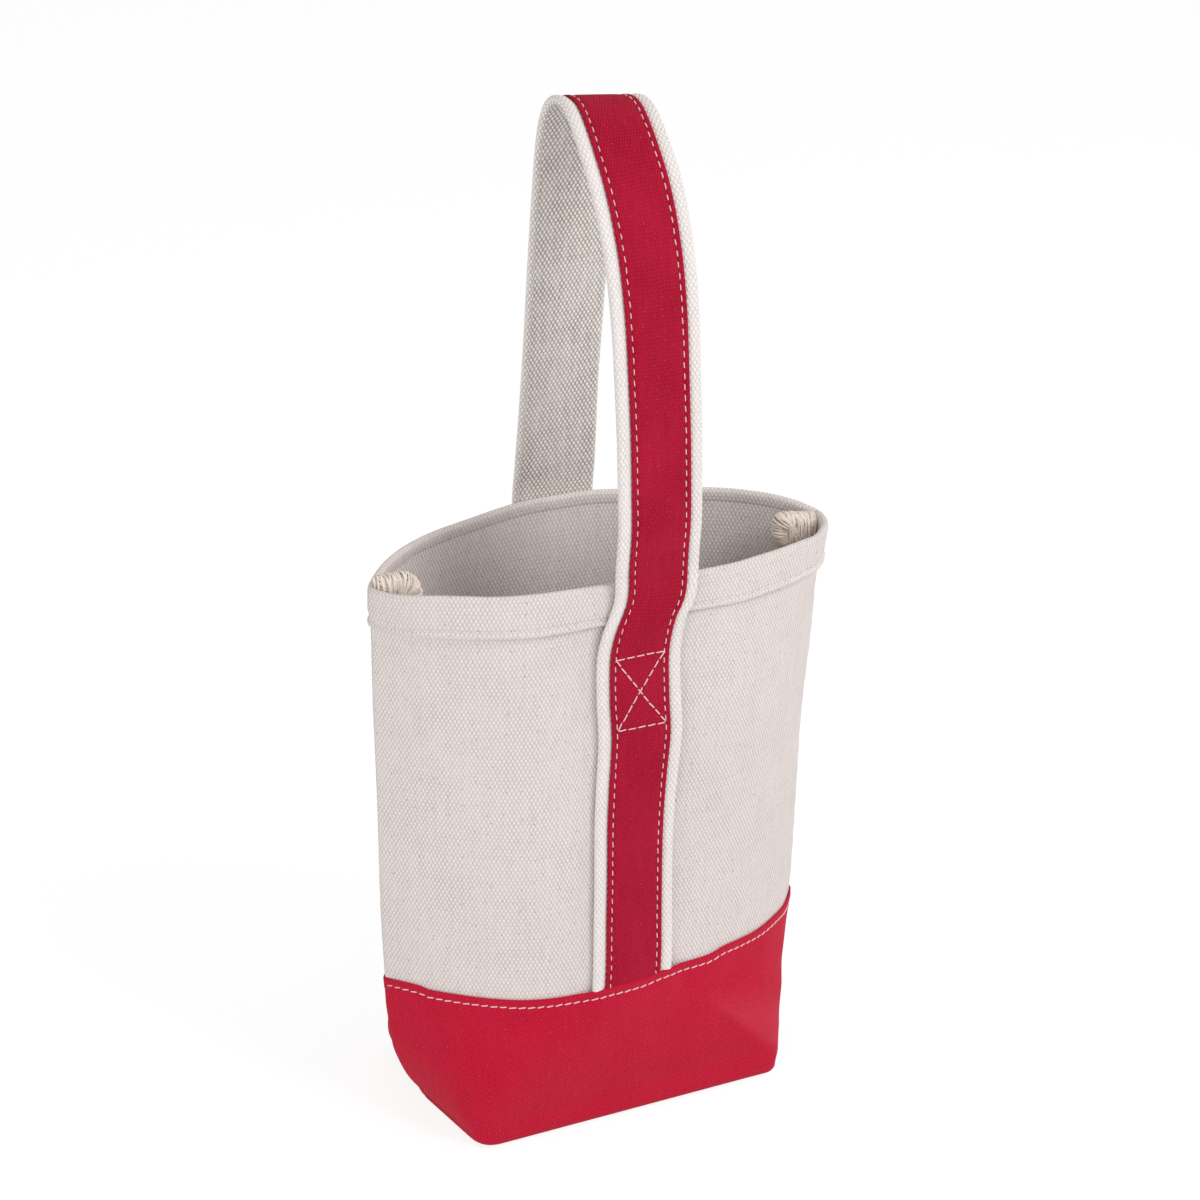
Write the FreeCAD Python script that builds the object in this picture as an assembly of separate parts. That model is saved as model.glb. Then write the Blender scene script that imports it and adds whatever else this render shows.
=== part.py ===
import FreeCAD, Part
import math
import os

# Two-bottle canvas carrier: a soft tapered bag with a red base and one strap over the top.
# Millimetres. Origin under the middle of the base, +X to the right, +Y to the back, +Z up.

# Bag body, outer sizes
bag_height = 230.0
bag_depth = 83.0
base_depth = 91.0
base_width = 150.0
waist_width = 175.5
middle_width = 182.0
mouth_width = 191.0
waist_z = 61.0
middle_z = 140.0

# How square the sections are: 2 is an ellipse, higher is closer to a rectangle
base_squareness = 4.0
waist_squareness = 2.3
middle_squareness = 2.2
mouth_squareness = 2.25
base_edge_radius = 6.5

# Cloth
canvas_thickness = 1.4
base_thickness = 1.2
hem_proud = 0.4
layer_gap = 0.2
seam_gap = 0.2

# Red base and rim hem
base_height = 61.0
hem_height = 16.0

# Overlocked seam allowances inside the side seams
seam_width = 11.0
seam_thickness = 3.0
seam_head_width = 19.0
seam_head_thickness = 8.0
seam_head_height = 15.0
seam_head_radius = 2.5
seam_foot_z = 24.0
seam_clearance = 0.8

# Strap: a folded canvas web with a red stripe on its outer face
web_width = 35.2
web_thickness = 3.0
stripe_width = 24.8
stripe_thickness = 0.9
strap_clearance = 0.25
sewn_top_drop = 34.0
step_height = 16.0
loop_foot_rise = 7.0
flex_gap = 0.3
loop_crown_rise = 163.0
loop_crown_radius = 20.0
loop_crown_y = 9.0

# Flats drawn round each section of the bag, and steps round the edge of its base
section_sides = 32
edge_steps = 2

# Values that follow from the sizes above
panel_inset = base_thickness + layer_gap
cavity_inset = panel_inset + canvas_thickness
half_depth = bag_depth / 2
sewn_top_z = bag_height - sewn_top_drop
loop_foot_z = bag_height + loop_foot_rise
loop_crown_z = bag_height + loop_crown_rise
strap_face_y = half_depth - panel_inset + strap_clearance
loop_face_y = half_depth + hem_proud + strap_clearance
reach = 4 * bag_height


def vec(x, y, z):
    return FreeCAD.Vector(x, y, z)


# One closed bag section at height z, drawn in by inset all round
def section(z, width, depth, squareness, inset):
    a = width / 2 - inset
    b = depth / 2 - inset
    power = 2 / squareness
    points = []
    for i in range(section_sides):
        turn = 2 * math.pi * i / section_sides
        c = round(math.cos(turn), 9)
        s = round(math.sin(turn), 9)
        points.append(vec(math.copysign(a * abs(c) ** power, c), math.copysign(b * abs(s) ** power, s), z))
    return Part.makePolygon(points + points[:1])


# The filled bag form, drawn in by inset on every side, with a rounded lower edge
def bag_form(inset):
    radius = base_edge_radius - inset
    wires = []
    for i in range(edge_steps + 1):
        turn = math.pi / 2 * i / edge_steps
        z = inset + radius * (1 - math.cos(turn))
        drawn_in = inset + radius * (1 - math.sin(turn))
        wires.append(section(z, base_width, base_depth, base_squareness, drawn_in))
    wires.append(section(waist_z, waist_width, bag_depth, waist_squareness, inset))
    wires.append(section(middle_z, middle_width, bag_depth, middle_squareness, inset))
    wires.append(section(bag_height, mouth_width, bag_depth, mouth_squareness, inset))
    return Part.makeLoft(wires, True, True)


# A wall between two drawn-in forms, kept between two heights
def wall(outer_inset, inner_inset, low, high):
    shell = bag_form(outer_inset).cut(bag_form(inner_inset))
    return shell.common(Part.makeBox(reach, reach, high - low, vec(-reach / 2, -reach / 2, low)))


# The half of a wall on one side of the side seams: side -1 is the front, 1 the back
def half(shape, side):
    y = seam_gap / 2 if side > 0 else -seam_gap / 2 - reach
    return shape.common(Part.makeBox(reach, reach, reach, vec(-reach / 2, y, -reach / 2)))


# Half width of the cavity along a side seam at height z
def seam_line(z):
    knots = [(base_edge_radius, base_width), (waist_z, waist_width), (middle_z, middle_width)]
    knots.append((bag_height, mouth_width))
    for (z0, w0), (z1, w1) in zip(knots, knots[1:]):
        if z <= z1:
            break
    return (w0 + (w1 - w0) * (z - z0) / (z1 - z0)) / 2 - cavity_inset


# Seam allowance: a fin down the seam and a thick folded head at the rim; side -1 is the left
def seam_allowance(side):
    levels = [seam_foot_z, waist_z, middle_z, bag_height]
    edge = [vec(seam_line(z) - seam_clearance, -seam_thickness / 2, z) for z in levels]
    inner = [p - vec(seam_width, 0, 0) for p in reversed(edge)]
    fin = Part.Face(Part.makePolygon(edge + inner + edge[:1])).extrude(vec(0, seam_thickness, 0))
    head_z = bag_height - seam_head_height
    head_x = seam_line(head_z) - seam_clearance - seam_head_width
    head = Part.makeBox(
        seam_head_width, seam_head_thickness, seam_head_height, vec(head_x, -seam_head_thickness / 2, head_z)
    )
    upright = [e for e in head.Edges if e.BoundBox.ZLength > seam_head_height / 2]
    solid = fin.fuse(head.makeFillet(seam_head_radius, upright)).removeSplitter()
    return solid if side > 0 else solid.mirror(vec(0, 0, 0), vec(1, 0, 0))


# An arc in the strap's side view, about a centre, between two directions from +Y towards +Z
def arc(centre, radius, start, end):
    points = []
    for turn in (start, (start + end) / 2, end):
        points.append(vec(0, centre[0] + radius * math.cos(turn), centre[1] + radius * math.sin(turn)))
    return Part.Arc(*points).toShape()


# Side view of the back strap where it steps out over the hem, at a distance outside its inner face
def step_line(distance):
    rise = loop_face_y - strap_face_y
    low = sewn_top_z + flex_gap
    high = low + step_height
    radius = (rise * rise + step_height * step_height) / (4 * rise)
    swing = math.asin(step_height / 2 / radius)
    out_y = loop_face_y + distance
    bend_out = arc((strap_face_y + radius, low), radius - distance, math.pi, math.pi - swing)
    bend_up = arc((loop_face_y - radius, high), radius + distance, -swing, 0)
    return [bend_out, bend_up, Part.makeLine(vec(0, out_y, high), vec(0, out_y, loop_foot_z))]


# Radius of a leg that stands upright on its foot and runs smoothly into the crown
def leg_radius(spread, climb):
    return (spread ** 2 + climb ** 2 - loop_crown_radius ** 2) / (2 * (spread - loop_crown_radius))


# Side view of the free loop: two long legs and a crown that leans back, all tangent arcs
def loop_line(distance):
    foot = loop_foot_z + flex_gap
    crown = loop_crown_z - loop_crown_radius
    climb = crown - foot
    front = leg_radius(loop_face_y + loop_crown_y, climb)
    back = leg_radius(loop_face_y - loop_crown_y, climb)
    front_turn = math.pi - math.asin(climb / (front - loop_crown_radius))
    back_turn = math.asin(climb / (back - loop_crown_radius))
    front_leg = arc((front - loop_face_y, foot), front + distance, math.pi, front_turn)
    crown_arc = arc((loop_crown_y, crown), loop_crown_radius + distance, front_turn, back_turn)
    back_leg = arc((loop_face_y - back, foot), back + distance, back_turn, 0)
    return [front_leg, crown_arc, back_leg]


# A strap layer between two distances from a side view line, extruded across its width
def ribbon(line, near, far, width):
    inner = line(near)
    outer = line(far)
    first = Part.makeLine(inner[0].Vertexes[0].Point, outer[0].Vertexes[0].Point)
    last = Part.makeLine(inner[-1].Vertexes[-1].Point, outer[-1].Vertexes[-1].Point)
    outline = Part.Wire(Part.__sortEdges__(inner + outer + [first, last]))
    solid = Part.Face(outline).extrude(vec(width, 0, 0))
    solid.translate(vec(-width / 2, 0, 0))
    return solid


# The straight stretch sewn flat to the back panel, from the red edge to the top of the sewn box
def sewn_stretch(near, far, width):
    low = base_height + layer_gap
    return Part.makeBox(width, far - near, sewn_top_z - low, vec(-width / 2, strap_face_y + near, low))


# Front pieces of the strap are the back ones seen in a mirror
def on_side(shape, side):
    return shape if side > 0 else shape.mirror(vec(0, 0, 0), vec(0, 1, 0))


def build():
    stripe_near = web_thickness + layer_gap
    layers = {
        "web": (0.0, web_thickness, web_width),
        "stripe": (stripe_near, stripe_near + stripe_thickness, stripe_width),
    }
    panels = wall(panel_inset, cavity_inset, 0, bag_height)
    bases = wall(0, base_thickness, 0, base_height)
    hems = wall(-hem_proud, base_thickness, bag_height - hem_height, bag_height)
    nodes = {"left_seam": seam_allowance(-1), "right_seam": seam_allowance(1)}
    for name, side in (("front", -1), ("back", 1)):
        nodes[name + "_panel"] = half(panels, side)
        nodes[name + "_base"] = half(bases, side)
        nodes[name + "_hem"] = half(hems, side)
        for layer, size in layers.items():
            nodes[name + "_strap_" + layer] = on_side(sewn_stretch(*size), side)
            nodes[name + "_root_" + layer] = on_side(ribbon(step_line, *size), side)
    for layer, size in layers.items():
        nodes["handle_" + layer] = ribbon(loop_line, *size)
    return nodes


os.makedirs("parts", exist_ok=True)
for node, shape in build().items():
    solid = shape.Solids[0]
    print(node, len(shape.Solids), solid.isValid(), round(solid.Volume))
    solid.exportStep("parts/" + node + ".step")
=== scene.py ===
import bisect
import bpy
import math
import random
from mathutils import Matrix, Vector, noise


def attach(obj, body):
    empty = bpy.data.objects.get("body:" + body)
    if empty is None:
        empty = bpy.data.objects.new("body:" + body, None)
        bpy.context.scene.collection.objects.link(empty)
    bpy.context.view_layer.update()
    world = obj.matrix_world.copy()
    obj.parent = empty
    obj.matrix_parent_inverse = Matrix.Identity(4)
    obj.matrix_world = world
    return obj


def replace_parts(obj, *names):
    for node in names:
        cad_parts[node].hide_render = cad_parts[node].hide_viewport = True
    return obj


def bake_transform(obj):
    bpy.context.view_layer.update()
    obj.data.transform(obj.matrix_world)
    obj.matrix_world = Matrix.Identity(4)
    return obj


# Canvas bottle carrier: soft bag, red base, one strap over the top.
# Sizes are in millimetres and turn into metres when a vertex is placed.
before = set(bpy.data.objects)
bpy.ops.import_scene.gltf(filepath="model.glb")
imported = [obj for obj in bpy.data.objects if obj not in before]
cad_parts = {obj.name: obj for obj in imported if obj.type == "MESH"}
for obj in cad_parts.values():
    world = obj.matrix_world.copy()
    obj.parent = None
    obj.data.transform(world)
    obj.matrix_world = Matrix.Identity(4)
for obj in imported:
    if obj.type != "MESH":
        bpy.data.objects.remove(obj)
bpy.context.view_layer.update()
bpy.ops.object.select_all(action="DESELECT")
mm = 0.001
dice = random.Random(7)


def smoothAlong(knots, values, at):  # curve through the knots that never overshoots
    at = min(max(at, knots[0]), knots[-1])
    i = min(max(bisect.bisect_right(knots, at) - 1, 0), len(knots) - 2)
    steps = [(values[k + 1] - values[k]) / (knots[k + 1] - knots[k]) for k in range(len(knots) - 1)]
    slopes = [0 if a * b <= 0 else 2 * a * b / (a + b) for a, b in zip(steps, steps[1:])]
    slopes = [steps[0]] + slopes + [steps[-1]]
    wide = knots[i + 1] - knots[i]
    t = (at - knots[i]) / wide
    rise = (1 + 2 * t) * (1 - t) ** 2 * values[i] + t * t * (3 - 2 * t) * values[i + 1]
    return rise + wide * (t * (1 - t) ** 2 * slopes[i] + t * t * (t - 1) * slopes[i + 1])


def ease(low, high, at):
    t = min(max((at - low) / (high - low), 0), 1)
    return t * t * (3 - 2 * t)


def runsAlong(points):  # length of a line up to each of its points
    runs = [0.0]
    for p, q in zip(points, points[1:]):
        runs.append(runs[-1] + (q - p).length)
    return runs


def evenly(points, count):  # the same line read back at even steps, and its length
    runs = runsAlong(points)
    even, i = [], 0
    for k in range(count + 1):
        at = runs[-1] * k / count
        while i < len(points) - 2 and runs[i + 1] < at:
            i += 1
        even.append(points[i].lerp(points[i + 1], (at - runs[i]) / max(runs[i + 1] - runs[i], 1e-9)))
    return even, runs[-1]


# The bag's form, shared by every cloth that lies on it: pointed at the side seams, boxed at the base
sides = ((-1, "front"), (1, "back"))
hands = ((-1, "left"), (1, "right"))
bagForm = {
    "rim": 230, "low": 5, "high": 232,  # a section is drawn at every millimetre from low to high
    "levels": [4, 12, 20, 30, 40, 61, 100, 140, 185, 230],
    "tip": [71.3, 77.9, 82.1, 85.6, 87.2, 90, 92.2, 93.5, 95.4, 96.2],  # half width at the side seams
    "rightMore": [-3.3, -3.9, -2.6, -0.5, 1.4, 3, 1.4, 0.6, 1.2, 0.5],  # the right side stands further out
    "frontDepth": [42.9, 42.4, 43.3, 43.9, 44.1, 42.3, 41.2, 40.6, 39.6, 37.6],
    "backDepth": [44.2, 43.8, 43.4, 43, 42.6, 41.8, 41.4, 41, 40.6, 40.2],
    "corner": [67, 69.4, 70, 69.5, 65.7, 64, 60, 60, 60, 60],  # where the flat front turns to the seam
    "soft": [8.3, 10.9, 15, 20.1, 26, 44, 50, 50, 50, 50],
    "rightSoft": 0.45, "rightSoftLevels": (6, 24),  # the right corner is sharper near the ground
    # 0 is pointed at the seams, 1 is boxed low down and rounded at the rim
    "frontBlunt": [1, 1, 1, 0.97, 0.9, 0.4, 0, 0, 0.15, 0.75],
    "backBlunt": [1, 1, 1, 0.93, 0.8, 0.35, 0, 0, 0, 0.1],
    "rimSquare": 2.5, "point": 2.9, "boxBelow": 120,
    "seamReach": 3.5, "seamGap": 0.005,
    "grooveDepth": 0.5, "grooveReach": 2.4,  # the cloth turns in along the side seams
    "cornerSteps": 12, "drawnSteps": 180, "steps": 120,
}
rimForm = {
    "frontDrop": (2.2, 4.2), "backDrop": (2.2, 4.2),  # its corners hang lower than the middle
    "frontSharp": 2, "backSharp": 12, "dropFrom": 140,
    "backLift": 3.2, "liftWide": (8, 46), "liftFrom": 195,  # the strap holds up the middle of the back
    "at": [-1, -0.9, -0.72, -0.5, -0.33, -0.15, 0.22, 0.33, 0.45, 0.65, 1],  # the front rim isn't level
    "lift": [0, 0.8, 2.3, 1.1, 0.8, 0, -1.6, -1.4, -0.5, 0, 0],
}
footForm = {
    "edgeRadius": 3.2,  # lower edge of the canvas, inside the red base
    "floor": 1.4,  # underside of the canvas above the ground
    "ground": 0.1,  # nothing lies lower than this
    "under": 45.0,  # from the wall in to the seam across the underside
    "tuck": 0.7, "tuckFrom": 0.93,  # the cloth turns up into that seam
    "hollow": 0.5, "hollowWide": 66.0, "drawIn": 0.06,
}
wallForm = {
    "dentLevels": [40, 61, 95, 150, 195, 230],
    "frontDent": [0, 0.8, 2.6, 3.4, 2.9, 0.4],  # the wall sinks behind the strap, between two fuller halves
    "backDent": [0, 0.8, 2.4, 3.0, 2.4, 0.2],
    "dentFlat": 13.0, "dentEnd": 44.0,
    "bulge": 0.9, "bulgeAt": 46.0, "bulgeWide": 19.0, "bulgeLevels": (55, 110),
    "bulgeLess": 0.5, "bulgeLessLevels": (190, 230),
    "leanLevels": [10, 40, 61, 100, 130, 165, 195, 232],
    "frontLean": [0, 3, 5.2, 5.2, 3.2, -1.0, 0, 1.5],  # the front faces a little to the right, low down
    "leanWide": 45.0,
    "pleatAt": 81.0, "pleatWide": 5.0, "pleatRise": 0.9,  # soft upright fold near the right seam
    "pleatLevels": (165, 215),
}
cornerCrease = {  # from a lower corner towards the red edge; beyond it the cloth turns away
    "start": (67.0, 9.0), "end": (23.0, 50.0), "slope": 0.24, "reach": 11.0, "round": 2.0, "grow": 10.0,
    "fade": (0.6, 1.15), "fadeLevels": (40, 58), "fadeSide": (66, 82),
}
unevenCloth = {
    "seeds": (3.7, 11.3),  # front and back
    "waves": ((0.75, 46, 62, 0), (0.28, 17, 30, 5)),  # rise, width, height and place in the noise
    "crease": (0.35, 8, 48, 9), "creaseSide": (48, 84), "creaseLevels": (150, 215),
    "pucker": 0.16, "puckerPitch": 1.75, "puckerDrift": 21, "puckerReach": 7,
    "calmBelow": 26, "rimCalm": 0.45, "rimLevels": (205, 226),
}
strapLean = {
    "levels": [50, 61, 76, 100, 127, 150, 165, 180, 199, 212, 226, 245],
    "x": [-4.2, -4.1, -3.5, -3.3, -3.5, -2.6, -1.8, -3.0, -3.8, -2.6, 1.8, 1.2],
    "backLevels": [195, 245], "backX": [0.0, 1.2],
}
sectionSteps = bagForm["steps"]


def formAt(key, z):
    return smoothAlong(bagForm["levels"], bagForm[key], z)


def boxOutline(a, b, corner, soft):  # straight across, round a soft corner, straight to the side seam
    bend, tip = Vector((corner, b)), Vector((a, 0))
    start, end = bend - Vector((soft, 0)), bend + (tip - bend).normalized() * soft
    shares = [k / bagForm["cornerSteps"] for k in range(bagForm["cornerSteps"] + 1)]
    turn = [start.lerp(bend, t).lerp(bend.lerp(end, t), t) for t in shares]
    return evenly([Vector((0, b))] + turn + [tip], sectionSteps)[0]


def buildSection(side, hand, z):  # quarter outline at one height, from its middle to the seam, with normals
    form, face = bagForm, "front" if side < 0 else "back"
    a, b, blunt = formAt("tip", z), formAt(face + "Depth", z), formAt(face + "Blunt", z)
    pointed, rounded = [], []
    for k in range(form["drawnSteps"] + 1):
        t = k / form["drawnSteps"]
        turn, power = math.pi / 2 * t, 2 / form["rimSquare"]
        pointed.append(Vector((a * t, b * (1 - t ** form["point"]))))
        rounded.append(Vector((a * math.sin(turn) ** power, b * max(math.cos(turn), 0) ** power)))
    pointed, other = evenly(pointed, sectionSteps)[0], evenly(rounded, sectionSteps)[0]
    if z < form["boxBelow"]:
        sharp = (1 - form["rightSoft"]) * (1 - ease(*form["rightSoftLevels"], z)) if hand > 0 else 0
        other = boxOutline(a, b, formAt("corner", z), formAt("soft", z) * (1 - sharp))
    line, run = evenly([p.lerp(q, blunt) for p, q in zip(pointed, other)], sectionSteps)
    row = []
    for i, p in enumerate(line):
        ahead = line[min(i + 1, sectionSteps)] - line[max(i - 1, 0)]
        out = Vector((-ahead.y, ahead.x)).normalized()
        row.append(Vector((p.x, p.y, out.x, out.y)))
    return row, run


formLevels = range(bagForm["low"], bagForm["high"] + 1)
formRows = {}
for side, hand in ((-1, -1), (-1, 1), (1, -1), (1, 1)):
    formRows[side, hand] = [buildSection(side, hand, z) for z in formLevels]
print("form drawn")


def halfRun(side, z):  # from the middle of a side round to the seam
    return formRows[side, -1][int(min(max(z, bagForm["low"]), bagForm["high"])) - bagForm["low"]][1]


def tipAt(hand, z):
    return formAt("tip", z) + (formAt("rightMore", z) if hand > 0 else 0)


def strapCentre(side, z):
    if side < 0:
        return smoothAlong(strapLean["levels"], strapLean["x"], z)
    return smoothAlong(strapLean["backLevels"], strapLean["backX"], z)


def cornerFold(x, z):
    (x0, z0), (x1, z1) = cornerCrease["start"], cornerCrease["end"]
    long = math.hypot(x1 - x0, z1 - z0)
    dx, dz = (x1 - x0) / long, (z1 - z0) / long
    along, off = (x - x0) * dx + (z - z0) * dz, (x - x0) * dz - (z - z0) * dx
    past = (off + math.hypot(off, cornerCrease["round"])) / 2
    turned = cornerCrease["reach"] * (1 - math.exp(-past / cornerCrease["reach"]))
    first, last = cornerCrease["fade"]
    fade = 1 - ease(first * long, last * long, along)
    fade *= (1 - ease(*cornerCrease["fadeLevels"], z)) * (1 - ease(*cornerCrease["fadeSide"], x))
    return -cornerCrease["slope"] * turned * ease(0, cornerCrease["grow"], along) * fade


def waveAt(wave, x, z, seed):
    rise, wide, high, shift = wave
    return rise * noise.noise(Vector((x / wide, z / high, seed + shift)))


def wallPush(side, x, z, fromSeam):  # how far the cloth stands out of, or sinks below, the plain form
    form, rough = wallForm, unevenCloth
    deep = smoothAlong(form["dentLevels"], form["frontDent" if side < 0 else "backDent"], z)
    off = abs(x - strapCentre(side, z))
    push = -deep * (1 - ease(form["dentFlat"], form["dentEnd"], off))
    swell = math.exp(-((abs(x) - form["bulgeAt"]) / form["bulgeWide"]) ** 2) * ease(*form["bulgeLevels"], z)
    push += form["bulge"] * swell * (1 - form["bulgeLess"] * ease(*form["bulgeLessLevels"], z))
    if side < 0:
        lean = smoothAlong(form["leanLevels"], form["frontLean"], z)
        push -= lean * x / form["leanWide"] * math.exp(-(x / form["leanWide"]) ** 2)
        pleat = math.exp(-((x - form["pleatAt"]) / form["pleatWide"]) ** 2)
        push += form["pleatRise"] * pleat * ease(*form["pleatLevels"], z)
    push += cornerFold(-side * x, z)
    seed = rough["seeds"][side > 0]
    calm = ease(0, rough["calmBelow"], z) * (1 - rough["rimCalm"] * ease(*rough["rimLevels"], z))
    soft = sum(waveAt(wave, x, z, seed) for wave in rough["waves"])
    crease = waveAt(rough["crease"], x, z, seed)
    crease *= ease(*rough["creaseSide"], abs(x)) * ease(*rough["creaseLevels"], z)
    drift = 2 * noise.noise(Vector((seed, z / rough["puckerDrift"], 0)))
    pucker = rough["pucker"] * math.sin(z / rough["puckerPitch"] + drift)
    return push + calm * (soft + crease + pucker * math.exp(-fromSeam / rough["puckerReach"]))


def wallPoint(side, s, z, out, below=0.0):
    # s runs -1..1 between the side seams, out is mm outside the canvas face, side -1 front, 1 back
    form = bagForm
    level = min(max(z, form["low"]), form["high"] - 0.01) - form["low"]
    k, share = int(level), min(abs(s), 1)
    i = min(int(share * sectionSteps), sectionSteps - 1)
    t = share * sectionSteps - i
    hand = (1 if s >= 0 else -1) * (1 if side < 0 else -1)
    (lower, run), (upper, _) = formRows[side, hand][k], formRows[side, hand][k + 1]
    px, py, nx, ny = lower[i].lerp(lower[i + 1], t).lerp(upper[i].lerp(upper[i + 1], t), level - k)
    wide = formAt("tip", z)
    if hand > 0:
        px *= 1 + formAt("rightMore", z) / wide
    fromSeam = run * (1 - share)
    turnIn = max(0, 1 - fromSeam / form["seamReach"]) ** 2  # at the seam, outwards is straight along x
    nx, ny = nx + (1 - nx) * turnIn, ny * (1 - turnIn)
    groove = form["grooveDepth"] * max(0, 1 - fromSeam / form["grooveReach"]) ** 2
    stand = out - below - groove + wallPush(side, hand * px, z, fromSeam) * (1 - turnIn)
    x, y = px + nx * stand, max(py + ny * stand, form["seamGap"])
    face = "front" if side < 0 else "back"
    hang = min(px / wide, 1) ** rimForm[face + "Sharp"] * ease(rimForm["dropFrom"], form["rim"], z)
    sink = rimForm[face + "Drop"][hand > 0] * hang
    raised = ease(rimForm["liftFrom"], form["rim"], z)
    if side > 0:
        sink -= rimForm["backLift"] * (1 - ease(*rimForm["liftWide"], px)) * raised
    else:
        sink -= smoothAlong(rimForm["at"], rimForm["lift"], s) * raised
    return Vector((hand * x, side * y, z - sink))


def lowerWall(side, s, along, out):
    # below the wall: round the lower edge and in under the bag to the seam across its underside
    foot = footForm
    z0 = foot["floor"] + foot["edgeRadius"]
    radius = foot["edgeRadius"] + out
    bend = radius * math.pi / 2
    if along < bend:
        turn = along / radius
        p = wallPoint(side, s, z0, out, radius * (1 - math.cos(turn)))
        p.z = z0 - radius * math.sin(turn)
        return p
    edge = wallPoint(side, s, z0, out, radius)
    share = min((along - bend) / (foot["under"] - foot["edgeRadius"]), 1)
    lift = foot["tuck"] * max(0, share - foot["tuckFrom"]) / (1 - foot["tuckFrom"])
    lift += foot["hollow"] * math.sin(math.pi * share) * max(0, 1 - (edge.x / foot["hollowWide"]) ** 2)
    y = side * max(abs(edge.y) * (1 - share), bagForm["seamGap"])
    return Vector((edge.x * (1 - foot["drawIn"] * share * abs(s) ** 6), y, z0 - radius + lift))


def clothGrid(name, columns, rows, place):
    # a plain grid laid over the form, with its own flat cut as UV in metres
    bpy.ops.object.select_all(action="DESELECT")
    bpy.ops.mesh.primitive_grid_add(x_subdivisions=columns, y_subdivisions=rows, size=2, calc_uvs=True)
    piece = bpy.context.object
    piece.name = piece.data.name = name
    cuts = []
    for v in piece.data.vertices:
        point, cut = place(v.co.x, (1 - v.co.y) / 2)
        v.co = point * mm
        cuts.append((cut[0] * mm, cut[1] * mm))
    layer = piece.data.uv_layers[0]
    for loop in piece.data.loops:
        layer.data[loop.index].uv = cuts[loop.vertex_index]
    return piece


def finishCloth(piece, thickness, side):
    thick = piece.modifiers.new("cloth", "SOLIDIFY")
    thick.thickness = thickness * mm
    thick.offset = -1
    thick.use_even_offset = False
    bpy.ops.object.modifier_apply(modifier=thick.name)
    for v in piece.data.vertices:  # nothing passes the plane of the side seams or the ground
        v.co.y = side * max(side * v.co.y, bagForm["seamGap"] * mm)
        v.co.z = max(v.co.z, footForm["ground"] * mm)
    bpy.ops.object.shade_smooth()
    return piece


weldGap = 0.002  # points closer than this are joined
crowding = 0.3


def closeWrap(piece):  # joins the edges of a grid that was wrapped round, and shuts its ends
    bpy.ops.object.mode_set(mode="EDIT")
    bpy.ops.mesh.select_all(action="SELECT")
    bpy.ops.mesh.remove_doubles(threshold=weldGap * mm)
    bpy.ops.mesh.fill_holes(sides=0)
    bpy.ops.mesh.normals_make_consistent(inside=False)
    bpy.ops.object.mode_set(mode="OBJECT")
    bpy.ops.object.shade_smooth()
    return piece


def tighter(s):  # columns draw closer together towards the side seams
    return s * (1 + crowding - crowding * s * s)


# Natural canvas panels
panel = {"top": 226.8, "thickness": 1.4, "columns": 116, "rows": (86, 6, 8), "cutLong": 267.0}
wallEnd = footForm["floor"] + footForm["edgeRadius"]


def panelPlace(side):
    wallLong = panel["top"] - wallEnd
    bend = footForm["edgeRadius"] * math.pi / 2
    wallRows, bendRows, underRows = panel["rows"]

    def place(s, t):
        k = round(t * sum(panel["rows"]))
        s = tighter(s)
        if k <= wallRows:
            z = panel["top"] - wallLong * k / wallRows
            return wallPoint(side, s, z, 0), (s * halfRun(side, z), z - panel["top"])
        along = bend * min((k - wallRows) / bendRows, 1)
        along += (footForm["under"] - footForm["edgeRadius"]) * max(k - wallRows - bendRows, 0) / underRows
        return lowerWall(side, s, along, 0), (s * halfRun(side, wallEnd), -wallLong - along)

    return place


panels = {}
for side, name in sides:
    piece = clothGrid(name + "Panel", panel["columns"], sum(panel["rows"]), panelPlace(side))
    panels[name] = finishCloth(piece, panel["thickness"], side)
print("panels laid")

# Rim hem: the canvas turned over the rim and sewn down outside
hem = {
    "height": 16.0,
    "rim": bagForm["rim"],
    "outer": 1.2,  # outer face, outside the canvas face
    "inner": -2.0,  # the rim is thickest at its top
    "near": 0.14,  # the turned part lies just off the canvas
    "stitchUp": 2.2,  # the stitch line above the folded lower edge
    "pinch": 0.6, "lip": 1.75, "fold": 0.45, "crown": 1.7,
    "wave": 0.3, "waves": 9, "waveHigh": (-1, 5),  # its lower edge isn't quite level
    "seamPress": 0.5, "pressReach": 5.0, "pressUp": 5.0,  # sewn thinner into the side seams
    "columns": 116,
}
hemLow = hem["rim"] - hem["height"]


def hemProfile():
    low, rim, out, inner = hemLow, hem["rim"], hem["outer"], hem["inner"]
    near, lip, fold, crown = hem["near"], hem["lip"], hem["fold"], hem["crown"]
    line = [(near, panel["top"] + 0.5), (near, low + 5), (near, low + 1.4), (near + 0.02, low + 0.7)]
    for k in range(5):  # folded lower edge
        turn = math.pi * (1 - k / 4)
        line.append((near + lip * (1 + math.cos(turn)) / 2, low + fold - fold * math.sin(turn)))
    line += [(lip + near, low + 2 * fold), (out, low + 1.5), (out - hem["pinch"], low + hem["stitchUp"])]
    line += [(out - 0.12, low + 2.9), (out, low + 3.8), (out, low + 7), (out - 0.05, low + 10)]
    line.append((out - 0.02, rim - 2))
    middle, half = (out + inner) / 2, (out - inner) / 2
    for k in range(1, 10):  # over the rim
        turn = math.pi * k / 10
        line.append((middle + half * math.cos(turn), rim - crown + crown * math.sin(turn)))
    line += [(inner, rim - 1.9), (inner + 0.1, rim - 3.2), (-1.62, rim - 4.6), (-1.3, rim - 5.8)]
    line += [(-0.8, rim - 6), (-0.4, rim - 5), (-0.1, rim - 3.6), line[0]]  # ends hidden in the panel
    return line


hemLine = hemProfile()
hemRuns = runsAlong([Vector(p) for p in hemLine])


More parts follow.
